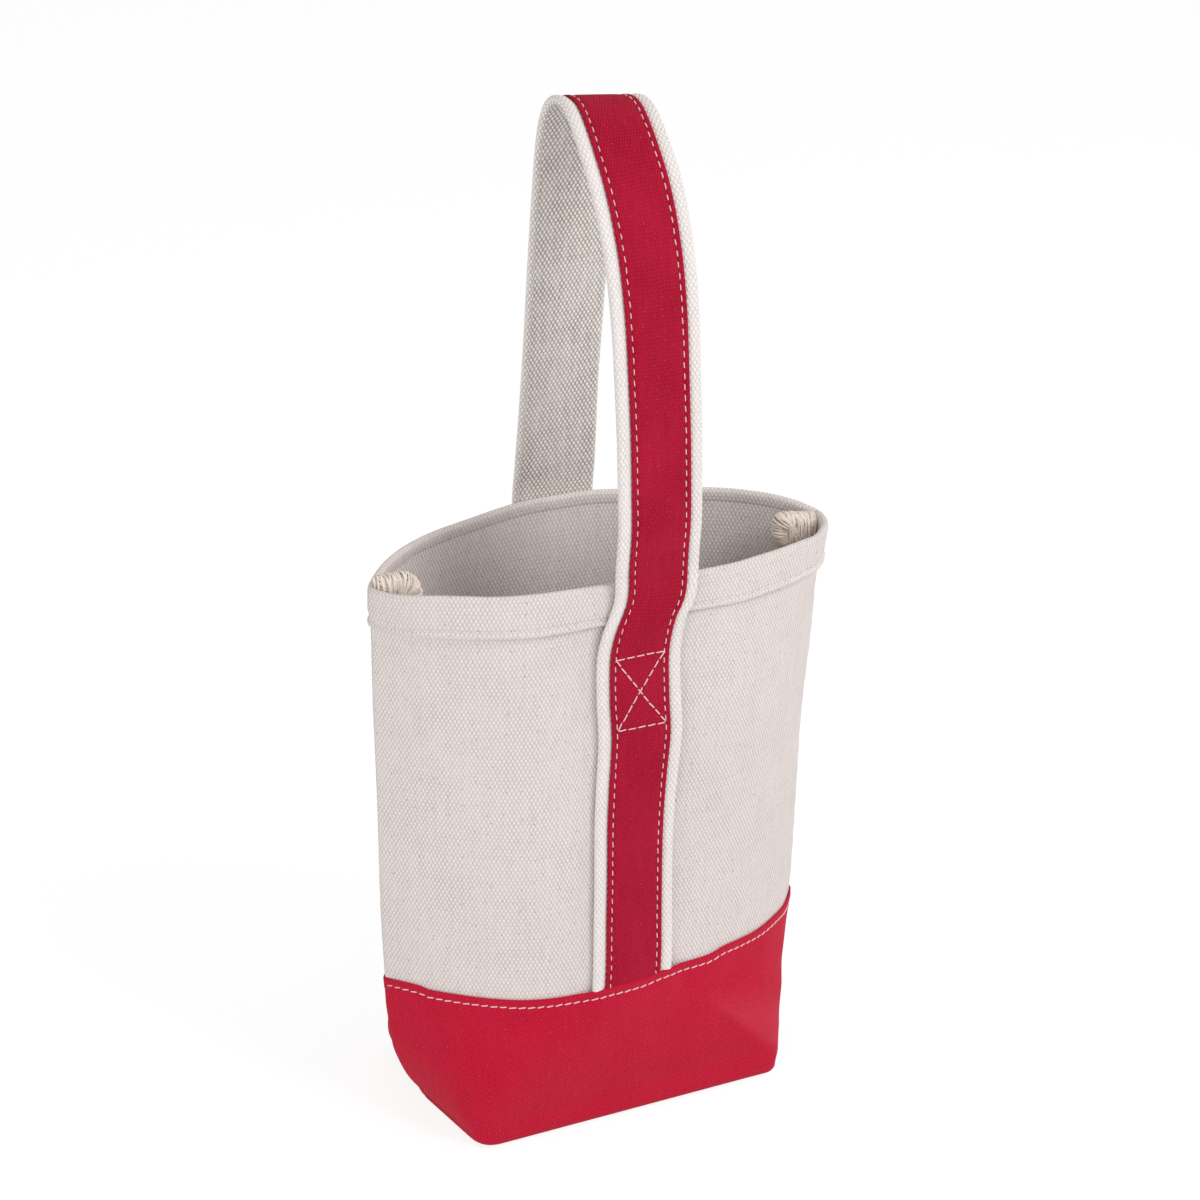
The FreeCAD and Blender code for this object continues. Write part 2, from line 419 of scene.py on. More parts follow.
def hemWave(side, s, z):
    low, high = hem["waveHigh"]
    uneven = noise.noise(Vector((s * hem["waves"], side * 3.1, 1.7)))
    return hem["wave"] * uneven * (1 - ease(hemLow + low, hemLow + high, z))


def seamPress(side, s, z, piece):  # how much thinner a fold is sewn near the side seams
    return 1 - piece["seamPress"] * (1 - ease(0, piece["pressReach"], (1 - abs(s)) * halfRun(side, z)))


def hemPoint(side, s, z, out):
    if out > 0 and z < hemLow + hem["pressUp"]:
        out *= seamPress(side, s, z, hem)
    return wallPoint(side, s, z + hemWave(side, s, z), out)


def hemPlace(side):
    def place(s, t):
        s = tighter(s)
        k = round(t * (len(hemLine) - 1))
        out, z = hemLine[k]
        return hemPoint(side, s, z, out), (s * halfRun(side, z), -hemRuns[k])

    return place


hems = {}
for side, name in sides:
    piece = clothGrid(name + "Hem", hem["columns"], len(hemLine) - 1, hemPlace(side))
    hems[name] = closeWrap(piece)
print("hems turned")

# Red base: turned and sewn upper edge, wrapped under the bag
base = {
    "edge": 61.0,
    "thickness": 0.7,
    "out": 1.15,
    "columns": 136,
    "rows": (26, 9, 12),
    "cutLong": 109.0,
    "stitchDown": 3.1,
    "stitchOut": 0.9,
    "fold": [(5.0, 0.12), (2.6, 0.12), (0.8, 0.12), (0.34, 0.2), (0.08, 0.42), (0, 0.7), (0.08, 0.98),
             (0.34, 1.2), (0.8, 1.3), (1.5, 1.3), (2.4, 1.15), (3.1, 0.9), (3.8, 1.1), (4.9, 1.22),
             (8, 1.15)],
    "turned": 4, "turnLess": 2.0,  # up to this point the cloth of the fold lies turned in
    "frontAt": [-1, -0.9, -0.855, -0.815, -0.7, -0.51, -0.28, -0.157, 0, 0.093, 0.228, 0.291, 0.38, 0.46,
                0.576, 0.711, 0.843, 1],  # shares between the side seams
    "frontRise": [0.2, 1.1, 1.2, 0.4, 0.6, 0.4, 0.2, 0.8, 0.6, 1.5, 0.9, 0.9, 2.3, 2.1, 1.3, 0.7, -1, -1.7],
    "backWave": 0.5, "backWaves": 5,
    "strapHump": 2.1, "humpWide": (14, 25), "humpLevels": (38, 57),  # it passes over the ends of the strap
    "seamPress": 0.6, "pressReach": 9.0, "pressLevels": (46, 60),  # sewn thinner into the side seams
}


def baseEdge(side, s):
    if side < 0:
        return base["edge"] + smoothAlong(base["frontAt"], base["frontRise"], s)
    ends = base["frontRise"][-1 if s < 0 else 0]
    uneven = noise.noise(Vector((s * base["backWaves"], 4.4, 0)))
    return base["edge"] + ends * abs(s) ** 4 + base["backWave"] * uneven * (1 - s * s)


def basePoint(side, s, z, out):
    flat = s * halfRun(side, z) * (1 if side < 0 else -1)
    off = abs(flat - strapCentre(side, z))
    hump = base["strapHump"] * (1 - ease(*base["humpWide"], off)) * ease(*base["humpLevels"], z)
    press = 1 + (seamPress(side, s, z, base) - 1) * ease(*base["pressLevels"], z)
    return wallPoint(side, s, z, out * press + hump)


def basePlace(side):
    fold = base["fold"]
    bend = (footForm["edgeRadius"] + base["out"]) * math.pi / 2
    foldRows = len(fold) - 1
    wallRows, bendRows, underRows = base["rows"]

    def place(s, t):
        s = tighter(s)
        k = round(t * (foldRows + sum(base["rows"])))
        edge = baseEdge(side, s)
        if k <= foldRows:
            down, out = fold[k]
            z = edge - down
            run = down if k > base["turned"] else -down - base["turnLess"]
            return basePoint(side, s, z, out), (s * halfRun(side, z), -run)
        k -= foldRows
        wallLong = edge - fold[-1][0] - wallEnd
        if k <= wallRows:
            z = edge - fold[-1][0] - wallLong * k / wallRows
            return basePoint(side, s, z, base["out"]), (s * halfRun(side, z), z - edge)
        along = bend * min((k - wallRows) / bendRows, 1)
        along += (footForm["under"] - footForm["edgeRadius"]) * max(k - wallRows - bendRows, 0) / underRows
        return lowerWall(side, s, along, base["out"]), (s * halfRun(side, wallEnd), wallEnd - edge - along)

    return place


bases = {}
for side, name in sides:
    rows = len(base["fold"]) - 1 + sum(base["rows"])
    piece = clothGrid(name + "Base", base["columns"], rows, basePlace(side))
    bases[name] = finishCloth(piece, base["thickness"], side)
print("red base laid")

# Strap: a folded canvas web with a red stripe sewn along its outer face
strap = {
    "foot": 54.0,  # both ends stop under the red edge
    "top": 234.0, "legSteps": 60,  # up to here it follows the bag
    "total": 3.5,  # web and stripe together
    "loop": [(0.9, -43.8, 240), (1.0, -44.4, 252), (0.8, -43.9, 264), (0.8, -41.9, 285), (0.7, -38.8, 308),
             (1.0, -34.3, 331), (0.7, -28.4, 353), (-0.3, -20.4, 373), (-0.9, -12, 385.3),
             (-0.1, -2.2, 393.7), (1.1, 7.4, 398.5), (1.5, 16.2, 399.1), (1.5, 23.4, 396), (1.3, 28.4, 389),
             (1.0, 31.8, 376), (0.7, 35.2, 350.3), (0.8, 37.9, 325), (1.0, 40.3, 300), (1.1, 42.2, 280),
             (1.2, 44.0, 253), (1.2, 44.8, 241)],
    "turnAt": [0, 0.25, 0.333, 0.405, 0.455, 0.485, 0.51, 0.54, 0.6, 0.68, 0.75, 1],  # shares of its length
    "turnY": [0, 0.04, 0.02, -0.05, -0.12, -0.14, -0.12, -0.04, 0.07, 0.11, 0.02, 0],  # how its width turns
    "turnZ": [0, 0, 0, 0, -0.02, -0.045, -0.06, -0.04, 0, 0, 0, 0],
    "outLevels": [50, 61, 68, 190, 200, 216, 236],
    "out": [0.2, 0.2, 0.25, 0.25, 0.4, 1.6, 1.7],
    "flatLow": 204.0, "flatHigh": 234.0,  # between these it leaves the curve of the wall
    "thinLevels": [54, 66, 196, 224], "thin": [0.5, 0.92, 0.92, 1],  # sewn flat low down
    "rows": 260, "spots": 700, "curveStep": 0.5, "softening": 14,
}


def strapRoute():
    # outer face of the strap at its middle, from the front foot over the crown to the back foot
    legs = []
    for side in (-1, 1):
        leg = []
        for k in range(strap["legSteps"]):
            z = strap["foot"] + (strap["top"] - strap["foot"]) * k / (strap["legSteps"] - 1)
            s = strapCentre(side, z) / halfRun(side, z) * (1 if side < 0 else -1)
            out = smoothAlong(strap["outLevels"], strap["out"], z)
            leg.append(wallPoint(side, s, z, out + strap["total"]))
        legs.append(leg)
    return legs[0] + [Vector(p) for p in strap["loop"]] + list(reversed(legs[1]))


def evenSpline(points, count):
    # Catmull-Rom through the points, read back at even steps
    fine = []
    ends = [2 * points[0] - points[1]] + points + [2 * points[-1] - points[-2]]
    for a, b, c, d in zip(ends, ends[1:], ends[2:], ends[3:]):
        span = max(int((c - b).length / strap["curveStep"]), 1)
        for k in range(span):
            t = k / span
            bend = (2 * a - 5 * b + 4 * c - d) * t * t + (3 * b - a - 3 * c + d) * t ** 3
            fine.append(0.5 * (2 * b + (c - a) * t + bend))
    return evenly(fine + [points[-1].copy()], count)


def softened(points, rounds):
    for _ in range(rounds):
        inner = [a * 0.25 + b * 0.5 + c * 0.25 for a, b, c in zip(points, points[1:], points[2:])]
        points = [points[0]] + inner + [points[-1]]
    return points


routeCount = strap["spots"]
route, routeLong = evenSpline(strapRoute(), routeCount)
route = softened(route, strap["softening"])
crownAt = max(range(len(route)), key=lambda k: route[k].z)
print("strap route", round(routeLong), "mm")


def routeFrame(at):  # place, direction, width and outward direction at a length along the strap
    k = min(max(at / routeLong * routeCount, 0), routeCount - 1e-6)
    i = int(k)
    place = route[i].lerp(route[i + 1], k - i)
    ahead = (route[min(i + 2, routeCount)] - route[max(i - 1, 0)]).normalized()
    turns = [smoothAlong(strap["turnAt"], strap[key], at / routeLong) for key in ("turnY", "turnZ")]
    wide = Vector((1, *turns))
    wide = (wide - ahead * ahead.dot(wide)).normalized()
    return place, ahead, wide, ahead.cross(wide) * -1


def strapPoint(at, across, height):  # height is measured from the inner face of the web
    place, ahead, wide, outward = routeFrame(at)
    z = place.z
    thin = smoothAlong(strap["thinLevels"], strap["thin"], z)
    flat = place + wide * across + outward * (height * thin - strap["total"])
    follow = 1 - ease(strap["flatLow"], strap["flatHigh"], z)
    if follow <= 0:
        return flat
    side = -1 if at < routeLong / 2 else 1
    s = (place.x + wide.x * across) / halfRun(side, z) * (1 if side < 0 else -1)
    out = smoothAlong(strap["outLevels"], strap["out"], z)
    lies = wallPoint(side, s, max(z, strap["outLevels"][0]), out + height * thin)
    return flat.lerp(lies, follow)


web = {
    "half": 17.6, "roll": 1.55, "edge": 3.3,  # rounded folded edges, thicker than the sewn middle
    "middle": 2.1, "slope": [(15.2, 3.3), (14.2, 3.1), (13.3, 2.7), (12.5, 2.1), (8, 2.1)],
    "rollSteps": 8, "cutWide": 37.0,
}


def webProfile():
    half, roll, rise = web["half"], web["roll"], web["edge"] / 2
    under = [(x, 0.0) for x in (-half + roll, -11, -6, 0, 6, 11)]
    upper = []
    for k in range(web["rollSteps"] + 1):
        turn = -math.pi / 2 + math.pi * k / web["rollSteps"]
        upper.append((half - roll + roll * math.cos(turn), rise + rise * math.sin(turn)))
    upper += web["slope"]
    return under + upper + [(0, web["middle"])] + [(-x, h) for x, h in reversed(upper)]


stripe = {
    "half": 12.4, "low": 2.2, "top": 3.15, "edgeTop": 3.3, "round": 0.5,
    "stitchIn": 2.1, "dip": 0.7,  # the stitches draw it down
    "cutWide": 25.0,
}


def stripeProfile():
    half, low, top, edge = stripe["half"], stripe["low"], stripe["top"], stripe["edgeTop"]
    seam, flat = half - stripe["stitchIn"], half - stripe["round"]
    under = [(x, low) for x in (-flat, -6, 0, 6, flat)]
    upper = [(half - 0.1, low + 0.25), (half, (low + edge) / 2), (half - 0.15, edge - 0.16), (flat, edge)]
    upper += [(seam + 0.6, edge - 0.04), (seam, edge - stripe["dip"])]
    upper += [(seam - 0.6, top - 0.06), (seam - 2.4, top + 0.06)]
    return under + upper + [(0, top + 0.1)] + [(-x, h) for x, h in reversed(upper)] + under[:1]


def wrapPlace(profile, startIn):
    around = runsAlong([Vector(p) for p in profile])
    middle = sum(h for x, h in profile) / len(profile)

    def place(s, t):
        k = round((s + 1) / 2 * (len(profile) - 1))
        across, height = profile[k]
        at = startIn + t * (routeLong - 2 * startIn)
        if t < 1e-6 or t > 1 - 1e-6:  # pinched shut at both ends
            height = middle
        return strapPoint(at, across, height), (around[k], -at)

    return place


strapPieces = []
for name, profile, startIn in (("strapWeb", webProfile(), 0.0), ("strapStripe", stripeProfile(), 0.5)):
    piece = clothGrid(name, len(profile) - 1, strap["rows"], wrapPlace(profile, startIn))
    strapPieces.append(closeWrap(piece))
strapWeb, strapStripe = strapPieces
print("strap sewn on")

# Overlocked seam allowances inside the side seams, thick where the hem's layers meet at the rim
seam = {
    "foot": 24.0, "neck": 209.0, "shoulder": 216.5,
    "top": (231.0, 228.0), "round": (9.0, 5.0),  # left and right: top of the head, its inner upper corner
    "finWide": 11.0, "finThick": 2.6, "headWide": 18.5, "headThick": 8.2,
    "clear": 2.1, "headClear": 0.5,  # kept off the inner face of the canvas
    "crown": 4.2, "square": (0.7, 0.8), "narrow": 0.1,
    "tilt": (0.0, 3.0),  # the right head hangs down towards the seam
    "fuzz": 0.3, "fuzzWide": 2.2, "sway": 0.8, "swayLong": 40,
    "rows": 90, "columns": 36, "crowd": 1.8, "cutRound": 4,
}


def seamSway(hand, z):
    return seam["sway"] * noise.noise(Vector((hand * 5.5, z / seam["swayLong"], 2.0)))


def seamPlace(hand):
    top, radius, tilt = (seam[key][hand > 0] for key in ("top", "round", "tilt"))

    def place(s, t):
        z = top - t ** seam["crowd"] * (top - seam["foot"])
        fin = 1 - ease(seam["neck"], seam["shoulder"], z)  # 0 at the head, 1 down the fin
        above = min(max(z - top + radius, 0), radius)
        wide = seam["headWide"] + (seam["finWide"] - seam["headWide"]) * fin
        wide -= radius - math.sqrt(radius * radius - above * above)
        thick = seam["headThick"] + (seam["finThick"] - seam["headThick"]) * fin
        cap = max(0, (z - top + seam["crown"]) / seam["crown"])
        shrink = math.sqrt(max(0, 1 - cap * cap))
        if t > 1 - 1e-6:
            shrink = 0
        turn = math.pi * (s + 1)
        c, q = math.cos(turn), math.sin(turn)
        powerX, powerY = seam["square"]
        lx = math.copysign(abs(c) ** powerX, c) * wide / 2 * (1 - seam["narrow"] * (1 - shrink))
        ly = math.copysign(abs(q) ** powerY, q) * thick / 2 * shrink
        if not shrink:
            lx = 0
        outer = tipAt(hand, z) - panel["thickness"] - seam["clear"] * fin - seam["headClear"] * (1 - fin)
        fine = seam["fuzzWide"]
        fuzz = seam["fuzz"] * noise.noise(Vector((lx / fine, ly / fine, z / fine + hand * 9)))
        sink = tilt * (0.5 + lx / wide) * ease(seam["neck"], top, z)
        spot = Vector((hand * (outer - wide / 2 + lx + fuzz), ly + fuzz + seamSway(hand, z), z - sink))
        return spot, (turn * seam["cutRound"], z)

    return place


seams = {}
for hand, name in hands:
    seams[name] = closeWrap(clothGrid(name + "Seam", seam["columns"], seam["rows"], seamPlace(hand)))
print("seam allowances folded in")

# Stitches: one is modelled, then copied along each line at the size that line needs
thread = {"radius": 0.3, "dash": 3.0, "dive": 0.32, "straight": 0.7, "taper": 0.6, "sides": 6}
handSway = {"slant": 0.05, "aside": 0.08, "long": (0.92, 1.06)}  # no two stitches are quite alike
edgeSewing = {"pitch": 4.05, "dash": 2.35, "radius": 0.23, "slant": 0.04, "lift": 0.38, "endIn": 2}
boxSewing = {"pitch": 4.0, "dash": 3.5, "radius": 0.27, "slant": 0.04, "lift": 0.16}
baseSewing = {"pitch": 3.6, "dash": 3.0, "radius": 0.28, "slant": 0.14, "lift": 0.14}
hemSewing = {"pitch": 3.6, "dash": 2.6, "radius": 0.28, "slant": 0.08, "lift": 0.16}


def oneStitch():
    straight, endLong = thread["dash"] * thread["straight"], thread["dash"] * (1 - thread["straight"]) / 2
    bpy.ops.object.select_all(action="DESELECT")
    bpy.ops.mesh.primitive_cylinder_add(vertices=thread["sides"], radius=thread["radius"] * mm,
                                        depth=straight * mm, end_fill_type="NGON",
                                        rotation=(0, math.pi / 2, 0))
    piece = bpy.context.object
    bpy.ops.object.transform_apply(location=True, rotation=True, scale=True)
    bpy.ops.object.mode_set(mode="EDIT")
    bpy.ops.mesh.select_all(action="DESELECT")
    bpy.ops.mesh.select_mode(type="FACE")
    for end in (-1, 1):
        bpy.ops.object.mode_set(mode="OBJECT")
        for f in piece.data.polygons:
            f.select = f.normal.x * end > 0.9
        bpy.ops.object.mode_set(mode="EDIT")
        reach = (end * endLong * mm, 0, -thread["dive"] * mm)
        bpy.ops.mesh.extrude_region_move(TRANSFORM_OT_translate={"value": reach})
        bpy.ops.transform.resize(value=(1, thread["taper"], thread["taper"]))
    bpy.ops.object.mode_set(mode="OBJECT")
    bpy.ops.object.shade_smooth()
    return piece


def copyTo(master, places, name):
    # every copy gets its own mesh, and all of one line become one piece
    copies = []
    for place in places:
        copy = bpy.data.objects.new(name, master.data.copy())
        copy.data.transform(place)
        bpy.context.scene.collection.objects.link(copy)
        copies.append(copy)
    bpy.ops.object.select_all(action="DESELECT")
    for copy in copies:
        copy.select_set(True)
    bpy.context.view_layer.objects.active = copies[0]
    bpy.ops.object.join()
    piece = bpy.context.object
    piece.name = piece.data.name = name
    return piece


def stitchPlaces(points, outward, sewing):
    # places for one stitch after another along a line of points
    runs = runsAlong(points)
    count = max(round(runs[-1] / sewing["pitch"]), 1)
    pitch = runs[-1] / count
    slant, shift = handSway["slant"], handSway["aside"]
    places = []
    for k in range(count):
        at = (k + 0.5) * pitch
        i = min(max(bisect.bisect_right(runs, at) - 1, 0), len(points) - 2)
        spot = points[i].lerp(points[i + 1], (at - runs[i]) / (runs[i + 1] - runs[i]))
        ahead = (points[min(i + 2, len(points) - 1)] - points[max(i - 1, 0)]).normalized()
        up = (outward[i] - ahead * outward[i].dot(ahead)).normalized()
        ahead = (ahead + up.cross(ahead) * (sewing["slant"] + dice.uniform(-slant, slant))).normalized()
        aside = up.cross(ahead)
        spot = spot + aside * dice.uniform(-shift, shift) + up * sewing["lift"]
        turn = Matrix((ahead, aside, up)).transposed().to_4x4()
        long = sewing["dash"] / thread["dash"] * dice.uniform(*handSway["long"])
        thick = sewing["radius"] / thread["radius"]
        places.append(Matrix.Translation(spot * mm) @ turn @ Matrix.Diagonal((long, thick, thick, 1)))
    return places


def strapLine(start, end, acrossStart, acrossEnd, height):
    points, outward = [], []
    steps = max(int(abs(end - start)), 12)  # about one to the millimetre
    for k in range(steps + 1):
        t = k / steps
        at, across = start + (end - start) * t, acrossStart + (acrossEnd - acrossStart) * t
        p = strapPoint(at, across, height)
        outward.append(strapPoint(at, across, height + 1) - p)
        points.append(p)
    return points, outward


def routeAt(z, side):  # length along the strap at a height on its front or back leg
    half = range(crownAt) if side < 0 else range(len(route) - 1, crownAt, -1)
    return min(half, key=lambda k: abs(route[k].z - z)) / routeCount * routeLong


stitch = oneStitch()
seamIn = stripe["half"] - stripe["stitchIn"]
places = []
for hand in (-1, 1):
    first, last = edgeSewing["endIn"], routeLong - edgeSewing["endIn"]
    line = strapLine(first, last, hand * seamIn, hand * seamIn, stripe["edgeTop"] - stripe["dip"])
    places += stitchPlaces(*line, edgeSewing)
sewnBox = {"low": 169.3, "high": 199.5, "up": 0.06}
for side in (-1, 1):
    low, high = routeAt(sewnBox["low"], side), routeAt(sewnBox["high"], side)
    box = ((low, low, -1, 1), (high, high, -1, 1), (low, high, -1, 1), (low, high, 1, -1))
    for start, end, first, last in box:
        line = strapLine(start, end, first * seamIn, last * seamIn, stripe["top"] + sewnBox["up"])
        places += stitchPlaces(*line, boxSewing)
strapThread = copyTo(stitch, places, "strapThread")
wallSewn = {"steps": 240, "reach": 0.99}  # stops just short of the side seams


def wallLine(side, heightOf, pointOf, out):
    points, outward = [], []
    for k in range(wallSewn["steps"] + 1):
        s = wallSewn["reach"] * (2 * k / wallSewn["steps"] - 1)
        z = heightOf(s)
        p = pointOf(side, s, z, out)
        points.append(p)
        outward.append(pointOf(side, s, z, out + 1) - p)
    return points, outward


sewn = {}
for side, name in sides:
    line = wallLine(side, lambda s: baseEdge(side, s) - base["stitchDown"], basePoint, base["stitchOut"])
    sewn[name + "Base"] = copyTo(stitch, stitchPlaces(*line, baseSewing), name + "BaseThread")
    line = wallLine(side, lambda s: hemLow + hem["stitchUp"], hemPoint, hem["outer"] - hem["pinch"])
    sewn[name + "Hem"] = copyTo(stitch, stitchPlaces(*line, hemSewing), name + "HemThread")
bpy.data.objects.remove(stitch)
print("stitches copied")

# Overlock thread: loops that wrap the raw edges of the seam allowances, and short fuzz between them
loops = {
    "thread": 0.085, "leg": 2.6, "segments": (14, 5), "pitch": 0.66, "shift": 0.25,
    "down": 10.0,  # they go on this far down the inner end of the head
    "turn": (-0.3, 0.2), "lean": (-0.16, 0.16), "reach": (0.98, 1.1), "thick": (0.8, 1.15),
    "aside": 0.12, "over": 0.1, "overEnd": 0.25,  # kept clear of the head
    "endRound": 5.0, "endPower": (2.5, 0.4), "cornerThin": 0.25, "cornerTurn": 1.57,  # radians
}
curls = {
    "count": 170, "startAt": 0.4, "swing": 1.5, "turn": 0.9,
    "thick": 1.6, "wide": (0.5, 1.4), "high": (0.3, 0.65),
}
finLoops = {"pitch": 2.2, "endIn": 3.0, "shift": 0.3, "turn": 0.2, "in": 1.2, "thick": 5.0, "round": 1.65}


def oneLoop():
    # an arch in the y-z plane: half a ring with two legs
    ring, tube = loops["segments"]
    bpy.ops.object.select_all(action="DESELECT")
    bpy.ops.mesh.primitive_torus_add(major_segments=ring, minor_segments=tube, major_radius=1.0 * mm,
                                     minor_radius=loops["thread"] * mm, rotation=(0, math.pi / 2, 0))
    piece = bpy.context.object
    bpy.ops.object.transform_apply(location=True, rotation=True, scale=True)
    bpy.ops.object.mode_set(mode="EDIT")
    bpy.ops.mesh.select_all(action="SELECT")
    bpy.ops.mesh.bisect(plane_co=(0, 0, 0), plane_no=(0, 0, 1), clear_inner=True)
    bpy.ops.mesh.select_all(action="DESELECT")
    bpy.ops.mesh.select_mode(type="EDGE")
    bpy.ops.object.mode_set(mode="OBJECT")
    for e in piece.data.edges:
        e.select = all(abs(piece.data.vertices[v].co.z) < 1e-6 for v in e.vertices)
    bpy.ops.object.mode_set(mode="EDIT")
    bpy.ops.mesh.extrude_edges_move(TRANSFORM_OT_translate={"value": (0, 0, -loops["leg"] * mm)})
    bpy.ops.mesh.select_all(action="SELECT")
    bpy.ops.mesh.fill_holes(sides=8)
    bpy.ops.object.mode_set(mode="OBJECT")
    return piece


def loopPlaces(hand):
    places = []
    top, radius, tilt = (seam[key][hand > 0] for key in ("top", "round", "tilt"))
    crown = seam["crown"]
    outer = tipAt(hand, top) - panel["thickness"] - seam["headClear"]
    straight, corner = seam["headWide"] - radius, radius * math.pi / 2
    long = straight + corner + loops["down"] - radius

    def onHead(along):  # frame under the crown and its half thickness, from the outer end round the corner
        lean = min(max((along - straight) / radius, 0), math.pi / 2)
        x = outer - min(along, straight) - radius * math.sin(lean)
        z = top - radius * (1 - math.cos(lean)) - max(along - straight - corner, 0)
        z -= tilt * max(1 - along / seam["headWide"], 0)
        turn = Matrix.Rotation(-hand * lean, 4, "Y")
        inner, outerPower = loops["endPower"]
        half = (1 - (1 - min(along / loops["endRound"], 1)) ** inner) ** outerPower * seam["headThick"] / 2
        half *= 1 - loops["cornerThin"] * (lean / loops["cornerTurn"]) ** 2
        spot = Vector((hand * x, seamSway(hand, top), z)) - turn.to_3x3() @ Vector((0, 0, crown))
        return Matrix.Translation(spot * mm) @ turn, half

    for k in range(int(long / loops["pitch"])):  # over the thick head at the rim
        along = (k + 0.5) * loops["pitch"] + dice.uniform(-loops["shift"], loops["shift"])
        spot, half = onHead(along)
        turn = Matrix.Rotation(dice.uniform(*loops["turn"]), 4, "Z")
        turn = turn @ Matrix.Rotation(dice.uniform(*loops["lean"]), 4, "Y")
        reach = dice.uniform(*loops["reach"])
        thick = crown * dice.uniform(*loops["thick"])
        over = loops["over"] + (loops["overEnd"] if along > straight else 0)
        scale = Matrix.Diagonal((thick, (half + loops["aside"]) * reach, (crown + over) * reach, 1))
        places.append(spot @ turn @ scale)
    for k in range(curls["count"]):  # short curls that stand off it
        spot, half = onHead(dice.uniform(curls["startAt"], long))
        swing = dice.uniform(-curls["swing"], curls["swing"])
        stand = Matrix.Translation(Vector((0, half * math.sin(swing), crown * math.cos(swing))) * mm)
        lean = Matrix.Rotation(-swing, 4, "X")
        lean = lean @ Matrix.Rotation(dice.uniform(-curls["turn"], curls["turn"]), 4, "Z")
        size = (curls["thick"], dice.uniform(*curls["wide"]), dice.uniform(*curls["high"]), 1)
        places.append(spot @ stand @ lean @ Matrix.Diagonal(size))
    rise = int((seam["neck"] - seam["foot"] - 2 * finLoops["endIn"]) / finLoops["pitch"])
    scale = Matrix.Diagonal((finLoops["thick"], finLoops["round"], finLoops["round"], 1))
    for k in range(rise):  # down the free edge of the fin
        z = seam["foot"] + finLoops["endIn"] + k * finLoops["pitch"]
        z += dice.uniform(-finLoops["shift"], finLoops["shift"])
        inner = tipAt(hand, z) - panel["thickness"] - seam["clear"] - seam["finWide"]
        turn = Matrix(((0, 0, -hand), (0, 1, 0), (hand, 0, 0))).to_4x4()
        turn = turn @ Matrix.Rotation(dice.uniform(-finLoops["turn"], finLoops["turn"]), 4, "Y")
        spot = Vector((hand * (inner + finLoops["in"]), seamSway(hand, z), z))
        places.append(Matrix.Translation(spot * mm) @ turn @ scale)
    return places


loop = oneLoop()
overlocks = {}
for hand, name in hands:
    overlocks[name] = copyTo(loop, loopPlaces(hand), name + "Overlock")
    bpy.ops.object.shade_smooth()
bpy.data.objects.remove(loop)
print("overlock loops copied")


def hexColour(code):  # sRGB hex to linear
    parts = [int(code[k:k + 2], 16) / 255 for k in (1, 3, 5)]
    return tuple(c / 12.92 if c <= 0.04045 else ((c + 0.055) / 1.055) ** 2.4 for c in parts) + (1.0,)


def addNode(tree, kind, settings=None, links=None):
    node = tree.nodes.new(kind)
    for key, value in (settings or {}).items():
        if isinstance(key, str) and hasattr(node, key):
            setattr(node, key, value)
        else:
            node.inputs[key].default_value = value
    for key, source in (links or {}).items():
        tree.links.new(source, node.inputs[key])
    return node


def newMaterial(name):
    material = bpy.data.materials.new(name)
    material.use_nodes = True
    material.node_tree.nodes.clear()
    return material, material.node_tree


mathNode, noiseNode, mixNode = "ShaderNodeMath", "ShaderNodeTexNoise", "ShaderNodeMix"
# painted highlight: where the paler patch beyond the front corner crease begins, fades and stops
paintedCreaseLightFade = {
    "begins": (-2, 3), "ends": (5, 24), "left": 0.25,  # millimetres past the line of the crease
    "behind": (-40, -31), "above": (30, 50),  # where the corner turns away, and where the crease runs out
}


# painted highlight: mask for the facet beyond the front corner crease, standing for the light that facet
# catches
def paintedCreaseLightMask(tree, strength):
    where = addNode(tree, "ShaderNodeTexCoord").outputs["Object"]
    spot = addNode(tree, "ShaderNodeSeparateXYZ", None, {0: where})
    (x0, z0), (x1, z1) = cornerCrease["start"], cornerCrease["end"]
    long = math.hypot(x1 - x0, z1 - z0)
    across = Vector(((z1 - z0) / long, 0, (x0 - x1) / long))
    line = across.x * x0 + across.z * z0
    past = addNode(tree, "ShaderNodeVectorMath", {"operation": "DOT_PRODUCT", 1: tuple(across)}, {0: where})
    fades = ((past.outputs["Value"], "begins", line, 0, strength),
             (past.outputs["Value"], "ends", line, 1, paintedCreaseLightFade["left"]),
             (spot.outputs["Y"], "behind", 0, 1, 0), (spot.outputs["Z"], "above", 0, 1, 0))
    mask = None
    for source, key, shift, low, high in fades:
        first, last = ((at + shift) * mm for at in paintedCreaseLightFade[key])
        part = addNode(tree, "ShaderNodeMapRange",
                       {"interpolation_type": "SMOOTHSTEP", "From Min": first, "From Max": last,
                        "To Min": low, "To Max": high}, {"Value": source})
        if mask:
            part = addNode(tree, mathNode, {"operation": "MULTIPLY"},
                           {0: mask.outputs[0], 1: part.outputs[0]})
        mask = part
    return mask.outputs[0]


